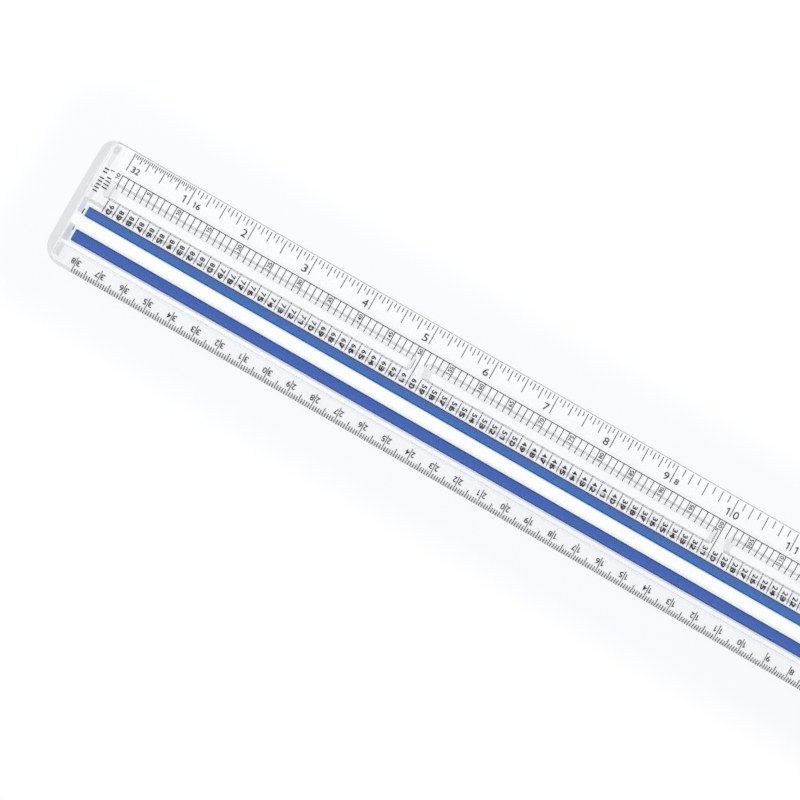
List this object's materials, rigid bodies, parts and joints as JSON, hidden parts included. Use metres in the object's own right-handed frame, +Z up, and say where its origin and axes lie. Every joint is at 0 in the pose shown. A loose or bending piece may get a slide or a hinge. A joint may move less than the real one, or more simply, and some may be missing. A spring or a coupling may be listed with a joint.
{
  "type": "magnifying scale ruler",
  "caption": "Flat clear ruler with bevelled edges, long slots, a raised lens bar over blue highlight strips, and printed inch, tenths, line-count and centimetre scales.",
  "frame": {"origin": "centre of the underside, midway between the two ends and between the two long edges", "axes": "+X along the ruler towards the 15 in mark, +Y across it towards the inch edge, +Z up from the paper"},
  "size_m": [0.4052, 0.05, 0.0066],
  "materials": {
    "clear_acrylic": "clear, polished, very slightly cool",
    "lens_acrylic": "clear, optically polished",
    "blue_film": "tinted film, satin",
    "violet_blue_film": "tinted film, satin",
    "black_ink": "matt printing ink"
  },
  "bodies": {
    "root": {"blade": "clear_acrylic", "magnifier_bar": "lens_acrylic", "highlight_strip_upper": "blue_film", "highlight_strip_lower": "violet_blue_film", "inch_scale_print": "black_ink", "tenths_scale_print": "black_ink", "line_count_print": "black_ink", "centimetre_scale_print": "black_ink"}
  },
  "joints": []
}
